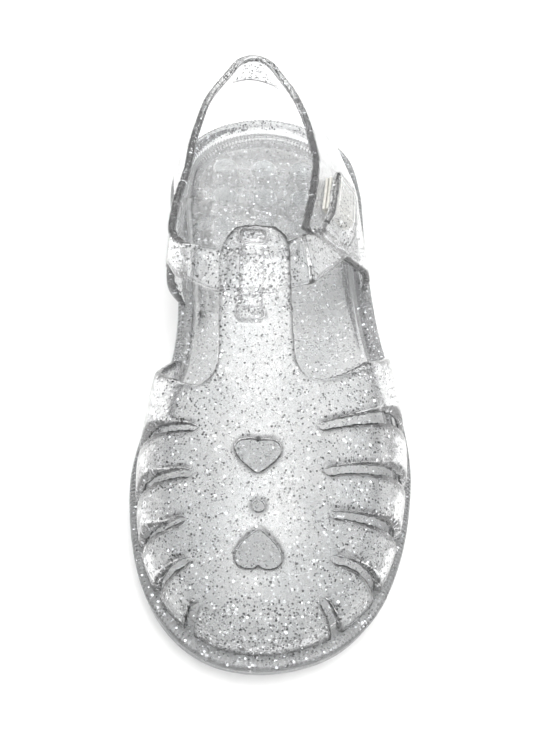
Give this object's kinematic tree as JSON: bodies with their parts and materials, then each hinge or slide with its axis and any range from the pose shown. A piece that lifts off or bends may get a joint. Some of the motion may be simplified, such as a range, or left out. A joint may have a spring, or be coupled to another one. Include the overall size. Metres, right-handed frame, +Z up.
{
  "type": "child's jelly sandal",
  "caption": "Left clear moulded child's sandal: slotted closed toe with heart cut-outs, T-bar, ankle strap with hook and loop tab, open back.",
  "frame": {"origin": "centre of the bounding box seen from above, on the floor the sole stands on", "axes": "+X to the outer (lateral) side of this left shoe, -Y to the toe, +Z up"},
  "size_m": [0.0732, 0.1846, 0.0622],
  "materials": {
    "clear_pvc_sole": "clear soft PVC with silver glitter, glossy",
    "clear_pvc_vamp": "clear soft PVC with silver glitter, glossy",
    "clear_pvc_strap": "clear soft PVC with silver glitter, glossy",
    "loop_pile": "cream woven loop pile",
    "hook_tape": "cream hook tape"
  },
  "bodies": {
    "root": {"sole": "clear_pvc_sole", "upper_vamp": "clear_pvc_vamp", "upper_heel_strap": "clear_pvc_strap", "loop_patch": "loop_pile", "hook_patch": "hook_tape"}
  },
  "joints": []
}
